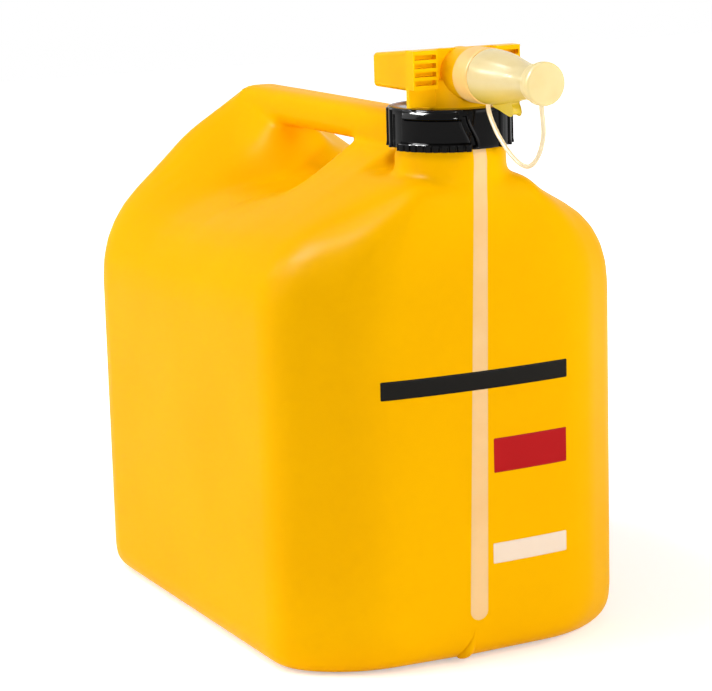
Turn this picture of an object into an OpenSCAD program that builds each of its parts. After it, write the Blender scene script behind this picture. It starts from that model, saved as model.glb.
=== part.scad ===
// Safety fuel can: a blow-moulded tank with a tunnel handle, a screw collar with
// a child-lock tab, and a push-button spout with a tethered cap.
// Millimetres. +Z is up, the spout points along -Y, the origin is the base centre.

/* [Tank] */
// Overall width of the tank
tank_w = 250; // [220:1:280]
// Overall depth of the tank, front to back
tank_d = 350; // [320:1:400]
// Thickness of the moulded wall
shell_t = 3.5; // [2.5:0.1:5]
// Width of the flat front between its two chamfers
front_w = 158; // [130:1:180]
// How far back the front chamfers reach
chamfer_d = 40; // [30:1:50]
// How far the edges of the front face stand behind its middle
front_bow = 5; // [0:0.5:8]
// Rounding of the bottom edge
base_r = 17; // [14:1:26]
// Rounding of the rear corners
rear_r = 30; // [22:1:45]
// Rounding of the eaves, measured from the sharp corner
eaves_cut = 38; // [25:1:46]
// Height where the front roof slope meets the side wall
front_eaves_z = 269; // [255:1:280]
// Height where the rear roof slope meets the side wall
rear_eaves_z = 253; // [242:1:262]
// Height of the roof round the neck
neck_base_z = 312; // [305:1:318]
// Height of the saddle under the handle
saddle_z = 290; // [282:1:296]
// Height of the rear hump where it leaves the handle's flank
hump_z = 316; // [308:1:322]

/* [Handle] */
// Height of the top of the handle
handle_top_z = 348; // [344:1:352]
// Width of the handle
handle_w = 30; // [24:1:36]
// Thickness of the handle's grip
handle_h = 24; // [20:1:26]
// Depth of the finger hollow on each side of the handle's rear end
hollow_d = 9; // [6:1:14]
// Length of the hand gap
gap_l = 110; // [95:1:120]
// Distance from the front of the tank to the hand gap
gap_front_d = 145; // [135:1:150]

/* [View stripe] */
// Width of the clear stripe
stripe_w = 10.7; // [6:0.1:16]
// Height of its lower end
stripe_z = 24; // [20:1:40]

/* [Neck and collar] */
// Outer radius of the neck
neck_r = 35; // [32:0.5:37]
// Radius of the neck where the collar screws on
neck_thread_r = 33.5; // [31:0.5:34]
// Radius of the neck's bore
neck_bore_r = 29.5; // [26:0.5:30]
// Outer radius of the collar
collar_r = 38.6; // [38:0.1:44]
// Wall of the collar
collar_t = 4.1; // [3.7:0.1:4.5]
// How far the collar's lower edge lies below the top of the handle
collar_drop = 17; // [13:1:20]
// Height of the collar
collar_h = 25.5; // [23:0.5:30]
// Thickness of the collar's top lip
lip_t = 3.5; // [2.5:0.1:4.5]
// Number of grip ribs round the collar
grip_ribs = 14; // [8:1:16]
// Width of the lock tab
tab_w = 47; // [36:1:50]
// Direction of the lock tab, in degrees from the front to the left
tab_angle = 45; // [30:1:60]

/* [Spout] */
// Height of the spout's axis above the top of the collar
spout_rise = 20; // [18.5:0.5:24]
// Outer radius of the barrel
barrel_r = 16; // [15.6:0.1:16.8]
// Bore of the barrel
barrel_bore_r = 14; // [13.8:0.1:14.3]
// Distance from the neck axis to the barrel's front end
barrel_l = 35; // [32:1:42]
// Width of the finger plate
plate_w = 75; // [62:1:80]
// Distance from the neck axis to the back of the finger plate
plate_l = 14; // [8:1:15]
// Height of the finger plate above the spout's axis
plate_up = 15.5; // [14.5:0.5:20]
// Width of the button sleeve
sleeve_w = 26; // [24:0.5:29]
// Height of the button sleeve at its rear end
sleeve_h = 22; // [20:0.5:23]
// Distance from the neck axis to the rear end of the sleeve
sleeve_l = 77; // [72:1:86]

/* [Button and valve] */
// Width of the push button
button_w = 19; // [16:0.5:19.5]
// Travel of the push button
button_travel = 8; // [5:0.5:9]
// Radius of the valve stem
stem_r = 2.5; // [2:0.1:3]
// Radius of the valve head
head_r = 6.9; // [6.6:0.1:7.1]
// Radius of the opening in the valve seat
seat_bore_r = 5.1; // [4.6:0.1:5.2]
// Mean radius of the return spring
spring_r = 6.5; // [5.5:0.1:7]
// Diameter of the spring wire
spring_wire = 1.4; // [1:0.1:1.8]
// Turns of the return spring
spring_turns = 6; // [4:1:7]

/* [Nozzle and cap] */
// Outer radius of the tether ring
ring_r = 17.2; // [17:0.1:17.8]
// Length of the tether ring
ring_l = 17; // [12:0.5:20]
// Outer radius of the bell
bell_r = 16.8; // [16.2:0.1:17.2]
// Length of the bell
bell_l = 44; // [36:1:52]
// Outer radius of the pouring tube
tube_r = 10.6; // [9.6:0.1:10.8]
// Length of the pouring tube in front of the bell
tube_l = 18; // [14:1:24]
// Outer radius of the cap
cap_r = 12.8; // [12.6:0.1:14]
// Length of the cap
cap_l = 11.5; // [10:0.5:14]
// Thickness of the tether strap
tether_d = 2.8; // [2:0.1:3.4]

/* [Clearances] */
// Gap between pieces that move past each other
slide_gap = 0.3; // [0.2:0.05:0.5]
// Gap between pieces that are fitted and stay put
fit_gap = 0.05; // [0.03:0.01:0.1]

/* [Hidden] */
$fn = 64;

yellow = [0.96, 0.74, 0.02];
cream = [0.96, 0.86, 0.66];
black = [0.06, 0.06, 0.06];

// Plan and side outline of the tank
front_y = -tank_d / 2;
rear_y = tank_d / 2;
gap_front_y = front_y + gap_front_d;
gap_rear_y = gap_front_y + gap_l;
grip_z = handle_top_z - handle_h;
front_cut = 16;
chamfer_cut = 20;
roof_front_cut = 18;
roof_rear_cut = 16;
base_front_cut = 18;

// Stack in the neck, from the tank's rim to the collar's lip
neck_y = front_y + neck_r;
collar_z = handle_top_z - collar_drop;
collar_top = collar_z + collar_h;
arrestor_flange_t = 1.5;
gasket_t = 2;
flange_t = 3;
flange_top = collar_top - lip_t - slide_gap;
gasket_z = flange_top - flange_t - gasket_t;
rim_z = gasket_z - arrestor_flange_t;
flange_r = collar_r - collar_t - 2.4;
riser_r = flange_r - 5.6;
riser_wall = 3.5;
tab_drop = 2.5;
tab_gap = 0.6;
tab_lip = 2.6;
ridge_h = 0.8;
collar_room = collar_r + tab_lip + ridge_h + 1;

// Spout, with lengths measured forward from the neck axis
spout_z = collar_top + spout_rise;
sleeve_dz = -3.75;
floor_l = -24;
elbow_l = -8;
elbow_t = 2;
elbow_bore_r = barrel_bore_r - 2.5;
guide_r = 6;
guide_l = 10;
seat_l = barrel_l - 15;
seat_t = 6;
socket_l = seat_l + seat_t;
nozzle_bore_r = barrel_bore_r - 2.7;
ring_end = barrel_l + ring_l;
bell_end = ring_end + bell_l;
tube_end = bell_end + tube_l;
cap_start = tube_end - cap_l + 4;
cap_end = cap_start + cap_l;
nozzle_t = 2;

// Button, spring and valve
button_end = -sleeve_l + 3;
button_h = sleeve_h - 6;
washer_t = 1.5;
spring_start = floor_l - washer_t;
spring_bore_r = spring_r + spring_wire / 2 + 0.6;
button_start = spring_start - button_travel - 1.25 * spring_turns * spring_wire - 3;
head_l = socket_l + 2.2;
stem_start = button_end + 8;
stem_end = head_l + 2;
vent_r = 1.8;
vent_off = nozzle_bore_r - vent_r - fit_gap;
vent_x = vent_off * sin(45);

// Small functions shared by the lofted and swept shapes
function unit(v) = v / norm(v);
function ease(a, b, t) = let (k = max(0, min(1, (t - a) / (b - a)))) k * k * (3 - 2 * k);
function corner(a, p, b, cut, n) =
    let (s = p + cut * unit(a - p), e = p + cut * unit(b - p))
    [for (i = [0:n]) let (t = i / n) (1 - t) * (1 - t) * s + 2 * t * (1 - t) * p + t * t * e];
function edge_drop(d, cut) = let (k = sqrt(max(0, min(1, d / cut)))) cut * (1 - k) * (1 - k);
function mix3(a, b, c, s, h) = a * (1 - s - h) + b * s + c * h;

// Half-width of the tank along Y: the rounded front corner, chamfer and rear corner
function plan_points(inset) =
    let (q0 = [0, front_y + inset], q1 = [front_w / 2 - inset / 2, front_y + inset],
         q2 = [tank_w / 2 - inset, front_y + chamfer_d + inset / 2],
         q3 = [tank_w / 2 - inset, rear_y - inset], q4 = [0, rear_y - inset])
    concat(corner(q0, q1, q2, front_cut, 4), [(q1 + q2) / 2],
           corner(q1, q2, q3, chamfer_cut, 4),
           [for (y = roof_stations()) [q2[0], y]],
           corner(q2, q3, q4, rear_r - inset / 2, 5));

// Stations of the roof: the handle's front leg, the saddle under it and the rear hump
leg_start = neck_y + collar_room;
leg_full = leg_start + 6;
saddle_start = gap_front_y - 32;
leg_end = gap_front_y - 4;
saddle_full = gap_front_y + 14;
flank_start = leg_start + 2;
flank_full = gap_front_y + 62;
hump_start = gap_rear_y - 14;
ridge_full = gap_rear_y + 18;
hump_full = rear_y - 10;
function spread(a, b, n) = [for (i = [0:n - 1]) a + (b - a) * i / n];
function roof_stations() =
    let (all = concat(spread(leg_start, leg_full, 3), spread(leg_full, saddle_start, 1), spread(saddle_start, leg_end, 2),
                      spread(leg_end, saddle_full, 5), spread(saddle_full, hump_start, 2),
                      spread(hump_start, ridge_full, 5), spread(ridge_full, rear_y - rear_r, 3)))
    [for (y = all) if (y < rear_y - rear_r - 1) y];

// Shares of the handle's front leg and rear root that stand on the roof at station y, outside only
function leg_at(y, inset) = inset > 0 ? 0 : ease(leg_start, leg_full, y) * (1 - ease(leg_end, saddle_full, y));
function root_at(y, inset) = inset > 0 ? 0 : ease(hump_start, ridge_full, y);

// One half of the tank's cross-section at station y, from the base to the roof
function half_section(y, w, inset) =
    let (h = ease(hump_start, hump_full, y), s = ease(saddle_start, saddle_full, y) * (1 - h),
         f = ease(flank_start, flank_full, y) * (1 - h),
         df = y - front_y - inset, dr = rear_y - inset - y,
         zb = inset + edge_drop(df, base_r + 0.6 * base_front_cut) + edge_drop(dr, base_r),
         drop = inset + edge_drop(df, roof_front_cut) + edge_drop(dr, roof_rear_cut),
         along = (y - front_y) / tank_d,
         eaves = front_eaves_z + (rear_eaves_z - front_eaves_z) * along - drop - inset / 2,
         foot = base_r + base_front_cut * (1 - ease(0, chamfer_d + chamfer_cut, y - front_y)),
         ridge = leg_at(y, inset) + root_at(y, inset),
         shoulder = mix3(neck_base_z + 1, saddle_z - 1, hump_z + 4, s, h),
         crown = mix3(neck_base_z + 2, saddle_z, hump_z + 6, s, h),
         p0 = [0, zb], p1 = [w, zb], p2 = [w, eaves],
         p3 = [min(mix3(neck_r + 5, tank_w * 0.26, tank_w * 0.2, f, h), w - 12),
               mix3(neck_base_z, saddle_z - 6, hump_z, f, h) - drop],
         p4 = [handle_w / 2 - 1, shoulder + ridge * (grip_z + 1 + h * (handle_h - 11) - shoulder) - drop],
         p5 = [0, crown + ridge * (grip_z + 3 + h * (handle_h - 4) - crown) - drop],
         valley = p4 + (p3 - p4) * 0.4 - [0, hollow_d * root_at(y, inset) * (1 - h)])
    concat([p0], corner(p0, p1, p2, foot, 4), corner(p1, p2, p3, min(eaves_cut, 0.65 * norm(p3 - p2)), 5),
           corner(p2, p3, valley, min(14, 0.3 * norm(p3 - p2), 0.45 * norm(valley - p3)), 3),
           corner(p3, valley, p4, min(8, 0.45 * norm(valley - p3), 0.45 * norm(valley - p4)), 3),
           corner(valley, p4, p5, min(6, 0.45 * norm(valley - p4)), 3), [p5]);

// The front face stands forward in its middle
function bowed(p) = let (k = max(0, min(1, -p[1] / tank_d * 2)))
    [p[0], p[1] + front_bow * pow(min(1, abs(p[0]) / front_w * 2), 2) * k * k, p[2]];

// Closed ring of points at one station, left side mirrored from the right
function ring_points(y, w, inset) =
    let (half = half_section(y, w, inset), n = len(half))
    concat([for (p = half) bowed([p[0], y, p[1]])],
           [for (i = [n - 2:-1:1]) bowed([-half[i][0], y, half[i][1]])]);

// Blow-moulded form of the tank without neck and handle, moved in by inset
module tank_form(inset) {
    plan = plan_points(inset);
    rings = [for (p = plan) ring_points(p[1], p[0], inset)];
    m = len(rings);
    n = len(rings[0]);
    half = n / 2;
    cols = 6;
    face = [for (i = [1:half - 1], k = [1:cols - 1])
        bowed([rings[0][i][0] * (1 - 2 * k / cols), plan[0][1], rings[0][i][2]])];
    function front_at(i, k) = k == 0 ? i : k == cols ? n - i : i == 1 && k == cols / 2 ? 0
        : m * n + (i - 1) * (cols - 1) + k - 1;
    last = (m - 1) * n;
    sides = [for (k = [0:m - 2], i = [0:n - 1], t = [0:1])
        let (a = k * n + i, b = k * n + (i + 1) % n)
        t == 0 ? [a, b, b + n] : [a, b + n, a + n]];
    front = [for (i = [1:half - 2], k = [0:cols - 1], t = [0:1])
        t == 0 ? [front_at(i, k), front_at(i + 1, k + 1), front_at(i + 1, k)]
               : [front_at(i, k), front_at(i, k + 1), front_at(i + 1, k + 1)]];
    front_ends = [for (k = [0:cols - 1], t = [0:1])
        t == 0 ? [0, front_at(1, k + 1), front_at(1, k)]
               : [front_at(half - 1, k), front_at(half - 1, k + 1), half]];
    rear = [for (i = [1:n - 2]) [last, last + i, last + i + 1]];
    faces = [for (f = concat(sides, front, front_ends, rear))
        if (f[0] != f[1] && f[1] != f[2] && f[2] != f[0]) f];
    polyhedron(concat([for (r = rings) each r], face), faces);
}

// Rectangle with rounded corners, centred
module rounded_rect(w, h, r) {
    square([w - 2 * r, h], center = true);
    square([w, h - 2 * r], center = true);
    for (x = [-1, 1], y = [-1, 1])
        translate([x * (w / 2 - r), y * (h / 2 - r)]) circle(r);
}

// Grip of the handle, from the neck to the rear of the tank
module handle_grip() {
    y0 = leg_start;
    y1 = rear_y - 15;
    end_r = 20;
    intersection() {
        translate([0, y1, handle_top_z - handle_h / 2])
            rotate([90, 0, 0]) linear_extrude(y1 - y0) rounded_rect(handle_w, handle_h, handle_h * 0.35);
        translate([-handle_w, 0, 0]) rotate([90, 0, 90]) linear_extrude(2 * handle_w) {
            translate([y0, grip_z]) square([y1 - y0, handle_h - end_r]);
            translate([y0, grip_z]) square([y1 - y0 - end_r, handle_h]);
            translate([y1 - end_r, handle_top_z - end_r]) circle(end_r);
        }
    }
}

// Outer form of the tank with its neck and handle
module tank_outer() {
    tank_form(0);
    handle_grip();
    translate([0, neck_y, 0]) rotate_extrude() polygon([
        [0, saddle_z], [neck_r, saddle_z], [neck_r, collar_z - 5], [neck_thread_r, collar_z - 3.2],
        [neck_thread_r, rim_z], [0, rim_z]]);
}

module tank_shell() {
    difference() {
        tank_outer();
        tank_form(shell_t);
        translate([0, neck_y, neck_base_z - 40]) cylinder(h = 100, r = neck_bore_r);
    }
}

// Space of the clear stripe in the front wall and up the neck
module stripe_space() {
    translate([-stripe_w / 2, front_y - 1, stripe_z + stripe_w / 2])
        cube([stripe_w, 12, collar_z + 3 - stripe_z - stripe_w / 2]);
    translate([0, front_y + 11, stripe_z + stripe_w / 2]) rotate([90, 0, 0]) cylinder(h = 12, d = stripe_w);
}

// Tank with its neck and handle, one moulding
module tank_body() {
    color(yellow) difference() {
        tank_shell();
        stripe_space();
    }
}

// Clear stripe that shows the fuel level, moulded into the front wall
module view_stripe() {
    color(cream) intersection() {
        tank_shell();
        stripe_space();
    }
}

module at_neck(z) {
    translate([0, neck_y, z]) children();
}

// Children's +Z runs forward along the spout from length l, +Y is up
module along_spout(l) {
    translate([0, neck_y - l, spout_z]) rotate([90, 0, 0]) children();
}

// Perforated basket that keeps a flame out of the tank
module flame_arrestor() {
    basket_r = neck_bore_r - 0.5;
    basket_h = 40;
    basket_t = 1.2;
    slots = 16;
    slot_w = 3;
    color([0.2, 0.2, 0.22]) at_neck(rim_z) difference() {
        rotate_extrude() polygon([
            [basket_r - 3, arrestor_flange_t], [neck_thread_r - 0.4, arrestor_flange_t], [neck_thread_r - 0.4, 0],
            [basket_r, 0], [basket_r, -basket_h], [0, -basket_h], [0, basket_t - basket_h],
            [basket_r - basket_t, basket_t - basket_h], [basket_r - basket_t, 0], [basket_r - 3, 0]]);
        for (i = [0:slots / 2 - 1]) rotate([0, 0, (i + 0.5) * 360 / slots])
            for (row = [0:1]) translate([-neck_r, -slot_w / 2, -basket_h + 5 + row * 17])
                cube([2 * neck_r, slot_w, 13]);
        for (ring = [1:3], i = [0:6 * ring - 1]) rotate([0, 0, i * 60 / ring])
            translate([ring * 7, 0, -basket_h - 1]) cylinder(h = basket_t + 2, r = 1.6, $fn = 24);
    }
}

// Flat rubber ring between the neck and the spout's flange
module neck_gasket() {
    color(black) at_neck(gasket_z) difference() {
        cylinder(h = gasket_t, r = neck_thread_r - 0.4);
        translate([0, 0, -1]) cylinder(h = gasket_t + 2, r = neck_bore_r - 3);
    }
}

// Block in front of the lock tab's place, along the tab's own direction
module tab_slab(w, z0, z1) {
    rotate([0, 0, -tab_angle]) translate([-w / 2, -collar_r - 10, z0]) cube([w, collar_r + 10, z1 - z0]);
}

// Screw collar with grip ribs and a window for the lock tab
module collar() {
    first_rib = 55;
    last_rib = 289;
    rib_z = 2;
    rib_h = collar_h - rib_z - 4.5;
    window_top = collar_h - lip_t - 1;
    color(black) at_neck(collar_z) difference() {
        union() {
            rotate_extrude() polygon([
                [collar_r - collar_t, 0], [collar_r - 0.6, 0], [collar_r, 0.6], [collar_r, collar_h - 3.2],
                [collar_r - 0.9, collar_h - 1], [collar_r - 2.6, collar_h], [riser_r + 0.6, collar_h], [riser_r + 0.6, collar_h - lip_t],
                [collar_r - collar_t, collar_h - lip_t]]);
            for (i = [0:grip_ribs - 1])
                rotate([0, 0, -tab_angle - 90 - first_rib - i * (last_rib - first_rib) / (grip_ribs - 1)])
                    translate([collar_r - 1, -1.6, rib_z]) cube([2.2, 3.2, rib_h]);
        }
        tab_slab(tab_w + 2 * tab_gap, -5, window_top);
    }
}

// Sprung tab that the thumb presses to free the collar
module lock_tab() {
    tab_top = collar_h - lip_t - 1 - tab_gap;
    ridges = 9;
    ridge_pitch = 5.4;
    color(black) at_neck(collar_z) {
        intersection() {
            rotate_extrude() polygon([
                [collar_r - collar_t + 1, -tab_drop], [collar_r + tab_lip, -tab_drop], [collar_r + tab_lip, 1.2],
                [collar_r + 0.6, 3], [collar_r + 0.6, tab_top - 4], [collar_r + 1.4, tab_top - 3],
                [collar_r, tab_top], [collar_r - collar_t + 1, tab_top]]);
            tab_slab(tab_w, -tab_drop, tab_top);
        }
        for (i = [0:ridges - 1]) rotate([0, 0, -tab_angle - 90 + (i - (ridges - 1) / 2) * ridge_pitch])
            translate([collar_r, -0.8, -tab_drop]) cube([tab_lip + ridge_h, 1.6, 3]);
    }
}

// Finger plate with a slotted box on each wing
module finger_plate() {
    plate_t = 4;
    box_t = 6;
    box_w = plate_w / 2 - barrel_r - 4.5;
    box_h = 24;
    slots = 4;
    slot_pitch = 5.2;
    slot_h = 2.9;
    slot_w = box_w - 2.5;
    down = spout_rise - 0.5;
    translate([-plate_w / 2, -down, plate_l]) cube([plate_w, down + plate_up, plate_t]);
    for (side = [-1, 1]) translate([side * (plate_w / 2 - box_w / 2), plate_up - box_h / 2, plate_l + plate_t])
        difference() {
            translate([-box_w / 2, -box_h / 2, 0]) cube([box_w, box_h, box_t]);
            for (i = [0:slots - 1])
                translate([-slot_w / 2, box_h / 2 - 4.2 - slot_h / 2 - i * slot_pitch, 1])
                    cube([slot_w, slot_h, box_t]);
        }
}

// Elbow of the spout: flange, riser, barrel, finger plate and button sleeve
module spout_body() {
    riser_top = spout_z - 4;
    riser_bore_r = riser_r - riser_wall;
    root_h = sleeve_h / 2 - sleeve_dz + plate_up - 0.5;
    color(yellow) difference() {
        union() {
            at_neck(flange_top - flange_t) cylinder(h = flange_t, r = flange_r);
            at_neck(flange_top - 1) cylinder(h = riser_top - flange_top + 1, r = riser_r);
            at_neck(riser_top) cylinder(h = 5, r1 = riser_r, r2 = riser_r - 7);
            along_spout(elbow_l - elbow_t) cylinder(h = plate_l - elbow_l + elbow_t, r = elbow_bore_r + elbow_t);
            along_spout(plate_l) cylinder(h = barrel_l - plate_l, r = barrel_r);
            along_spout(0) finger_plate();
            hull() {
                along_spout(plate_l) translate([0, plate_up - 0.5 - root_h / 2]) linear_extrude(1)
                    rounded_rect(sleeve_w, root_h, 3, $fn = 32);
                along_spout(-sleeve_l) translate([0, sleeve_dz]) linear_extrude(1)
                    rounded_rect(sleeve_w, sleeve_h, 3, $fn = 32);
            }
        }
        at_neck(flange_top - flange_t - 1) cylinder(h = riser_top - 2 - flange_top + flange_t, r = riser_bore_r);
        along_spout(elbow_l) cylinder(h = seat_l - elbow_l + 1, r = elbow_bore_r);
        along_spout(seat_l) cylinder(h = barrel_l - seat_l + 1, r = barrel_bore_r);
        along_spout(floor_l - 1) cylinder(h = guide_l + 4.7, r = guide_r);
        along_spout(floor_l) cylinder(h = elbow_l - floor_l + 1, r = stem_r + 1);
        along_spout(button_start - 1) cylinder(h = floor_l - button_start + 1, r = spring_bore_r);
        along_spout(-sleeve_l - 1) translate([0, sleeve_dz]) linear_extrude(button_start + button_travel + sleeve_l + 2)
            square([button_w + 2 * slide_gap, button_h + 2 * slide_gap], center = true);
    }
}

// Ring of round section about the spout's axis
module o_ring(l, r, wire_r) {
    along_spout(l) rotate_extrude() translate([r, 0]) circle(wire_r, $fn = 24);
}

// Plain bush that guides the valve stem
module stem_guide() {
    color([0.85, 0.85, 0.82]) along_spout(floor_l) difference() {
        cylinder(h = guide_l, r = guide_r - fit_gap);
        translate([0, 0, -1]) cylinder(h = guide_l + 2, r = stem_r + fit_gap);
    }
}

// O-ring round the stem in front of its bush
module stem_seal() {
    inner = stem_r + fit_gap;
    outer = guide_r - fit_gap;
    color(black) o_ring(floor_l + guide_l + (outer - inner) / 2 + fit_gap, (inner + outer) / 2, (outer - inner) / 2);
}

// Washer that the return spring pushes on
module spring_seat() {
    color([0.7, 0.7, 0.72]) along_spout(floor_l - washer_t) difference() {
        cylinder(h = washer_t, r = spring_bore_r - fit_gap);
        translate([0, 0, -1]) cylinder(h = washer_t + 2, r = stem_r + slide_gap);
    }
}

// Tube of round section swept along a list of points
module swept_tube(path, r, sides) {
    m = len(path);
    rings = [for (i = [0:m - 1])
        let (t = unit(path[min(i + 1, m - 1)] - path[max(i - 1, 0)]),
             u = unit(cross(t, abs(t[0]) < 0.9 ? [1, 0, 0] : [0, 0, 1])), v = cross(t, u))
        [for (k = [0:sides - 1]) path[i] + r * (u * cos(360 * k / sides) + v * sin(360 * k / sides))]];
    walls = [for (i = [0:m - 2], k = [0:sides - 1], h = [0:1])
        let (a = i * sides + k, b = i * sides + (k + 1) % sides)
        h == 0 ? [a, b + sides, b] : [a, a + sides, b + sides]];
    first = [for (k = [1:sides - 2]) [0, k, k + 1]];
    last = [for (f = first) [for (i = [2:-1:0]) f[i] + (m - 1) * sides]];
    polyhedron([for (r = rings) each r], concat(walls, first, last));
}

// Coil spring that pushes the button back
spring_l = spring_start - button_start - spring_wire;
spring_steps = 10 * spring_turns;
spring_path = [for (i = [0:spring_steps]) let (a = 360 * spring_turns * i / spring_steps)
    [spring_r * cos(a), spring_r * sin(a), -spring_wire / 2 - spring_l * i / spring_steps]];
echo(spring_gap = spring_l / spring_turns - spring_wire);
module return_spring() {
    color([0.75, 0.75, 0.78]) along_spout(spring_start) swept_tube(spring_path, spring_wire / 2, 6);
}

// Push button with a domed crown
module push_button() {
    crown_r = button_h * 0.45;
    crown_h = 5.5;
    dome_r = (crown_r * crown_r + crown_h * crown_h) / (2 * crown_h);
    dome_a = asin(crown_r / dome_r);
    color(yellow) difference() {
        along_spout(button_end) translate([0, sleeve_dz, 0]) {
            linear_extrude(button_start - button_end) rounded_rect(button_w, button_h, 2.5);
            rotate_extrude() polygon(concat([[0, 1], [crown_r, 1]],
                [for (i = [8:-1:0]) let (a = dome_a * i / 8)
                    [dome_r * sin(a), dome_r - crown_h - dome_r * cos(a)]]));
        }
        along_spout(stem_start) cylinder(h = button_start - stem_start + 1, r = stem_r + fit_gap);
    }
}

// Rod from the button to the valve head
module valve_stem() {
    color([0.75, 0.75, 0.78]) along_spout(stem_start) cylinder(h = stem_end - stem_start, r = stem_r);
}

// Ring in the barrel that the valve head closes on
module valve_seat() {
    color([0.9, 0.9, 0.88]) along_spout(seat_l) difference() {
        cylinder(h = seat_t, r = barrel_bore_r - fit_gap);
        translate([0, 0, -1]) cylinder(h = seat_t + 2, r = seat_bore_r);
        translate([vent_x, vent_x, -1]) cylinder(h = seat_t + 2, r = vent_r + fit_gap);
    }
}

// Head on the front end of the stem
module valve_head() {
    color([0.9, 0.9, 0.88]) along_spout(0) difference() {
        rotate_extrude() polygon([
            [0, socket_l - 3], [seat_bore_r - 0.6, socket_l - 3], [seat_bore_r - 0.6, head_l], [head_r, head_l],
            [head_r, head_l + 2], [3, head_l + 6], [0, head_l + 6]]);
        translate([0, 0, socket_l - 4]) cylinder(h = stem_end - socket_l + 4, r = stem_r + fit_gap);
    }
}

// O-ring of the valve head
module valve_seal() {
    color(black) o_ring(socket_l + 1.1, seat_bore_r + 0.45, 1);
}

// Air tube that runs from the bell through the valve seat into the elbow
module vent_tube() {
    start = elbow_l + 6;
    length = ring_end + 8 - start;
    color([0.9, 0.9, 0.88]) along_spout(start) translate([vent_x, vent_x, 0]) difference() {
        cylinder(h = length, r = vent_r);
        translate([0, 0, -1]) cylinder(h = length + 2, r = vent_r - 0.7);
    }
}

// Bell and pouring tube, with the fin that hooks on a filler neck
module nozzle() {
    core_r = ring_r - 2.8;
    seal_l = socket_l + 4;
    outer = concat([[barrel_bore_r - fit_gap, socket_l], [barrel_bore_r - fit_gap, seal_l - 0.9],
                    [barrel_bore_r - 1.3, seal_l - 0.9], [barrel_bore_r - 1.3, seal_l + 0.9],
                    [barrel_bore_r - fit_gap, seal_l + 0.9], [barrel_bore_r - fit_gap, barrel_l],
                    [core_r, barrel_l], [core_r, ring_end], [bell_r, ring_end]],
                   [for (i = [0:8]) let (t = i / 8)
                       [bell_r + (tube_r - bell_r) * ease(0, 1, t), ring_end + bell_l * (0.25 + 0.75 * t)]],
                   [[tube_r, tube_end - 1], [tube_r - 0.8, tube_end]]);
    inner = concat([[tube_r - nozzle_t, tube_end]],
                   [for (i = [8:-1:0]) let (t = i / 8)
                       [bell_r + (tube_r - bell_r) * ease(0, 1, t) - nozzle_t, ring_end + bell_l * (0.25 + 0.75 * t)]],
                   [[bell_r - nozzle_t, ring_end + 2], [nozzle_bore_r, barrel_l + 4], [nozzle_bore_r, socket_l]]);
    fin_start = ring_end + bell_l * 0.28;
    fin_end = bell_end - 8;
    fin_r = ring_r + 3;
    fin_t = 6;
    color([0.93, 0.88, 0.66]) along_spout(0) {
        rotate_extrude() polygon(concat(outer, inner));
        translate([-fin_t / 2, 0, 0]) rotate([0, 90, 0]) linear_extrude(fin_t) polygon([
            [-fin_start, -bell_r + 1], [-fin_end + 7, -fin_r], [-fin_end, -fin_r], [-fin_end + 3, -tube_r - 4],
            [-fin_end, -tube_r + 0.5], [-fin_start, -tube_r + 0.5]]);
    }
}

// O-ring between the nozzle and the barrel
module nozzle_seal() {
    color(black) o_ring(socket_l + 4, barrel_bore_r - 0.65 - fit_gap / 2, 0.6);
}

// Ring that carries the tether, trapped between the barrel and the bell
module tether_ring() {
    color(cream) along_spout(barrel_l + fit_gap) rotate_extrude() polygon([
        [ring_r - 2.8 + fit_gap, 0], [ring_r - 0.8, 0], [ring_r, 0.8], [ring_r, ring_l - 1.2],
        [ring_r - 0.5, ring_l - 2 * fit_gap], [ring_r - 2.8 + fit_gap, ring_l - 2 * fit_gap]]);
}

// Route of the tether: forward from the neck axis, and up from the spout's axis
tether_end = cap_start + 5.5;
tether_route = [[49, -ring_r - fit_gap], [49, -ring_r - 2], [50.3, -22.5], [53, -26.5], [58.8, -33], [63.5, -37],
                [68.3, -40.6], [74, -44.3], [80.2, -47.4], [87, -49.8], [94.3, -50.6], [100, -49],
                [104.8, -45.8], [108.4, -42], [111.4, -37], [113.6, -30.5], [113.7, -25], [113, -20],
                [tether_end, -cap_r - 2], [tether_end, -cap_r - slide_gap]];
module tether_strap() {
    color(cream) along_spout(0) swept_tube([for (p = tether_route) [0, p[1], p[0]]], tether_d / 2, 8);
}

// Push-on cap of the pouring tube
module nozzle_cap() {
    socket = tube_end + slide_gap;
    color(cream) along_spout(0) rotate_extrude() polygon([
        [tube_r + slide_gap, cap_start], [cap_r - 0.8, cap_start], [cap_r, cap_start + 0.8],
        [cap_r, cap_end - 2], [cap_r - 0.7, cap_end - 0.7], [cap_r - 2.5, cap_end], [0, cap_end + 0.4],
        [0, socket], [tube_r + slide_gap, socket]]);
}

tank_body();
view_stripe();
flame_arrestor();
neck_gasket();
collar();
lock_tab();
spout_body();
stem_guide();
stem_seal();
spring_seat();
return_spring();
push_button();
valve_stem();
valve_seat();
valve_head();
valve_seal();
vent_tube();
nozzle();
nozzle_seal();
tether_ring();
tether_strap();
nozzle_cap();
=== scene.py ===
import math

import bmesh
import bpy
import numpy as np
from mathutils import Matrix, Vector
from mathutils.bvhtree import BVHTree


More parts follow.
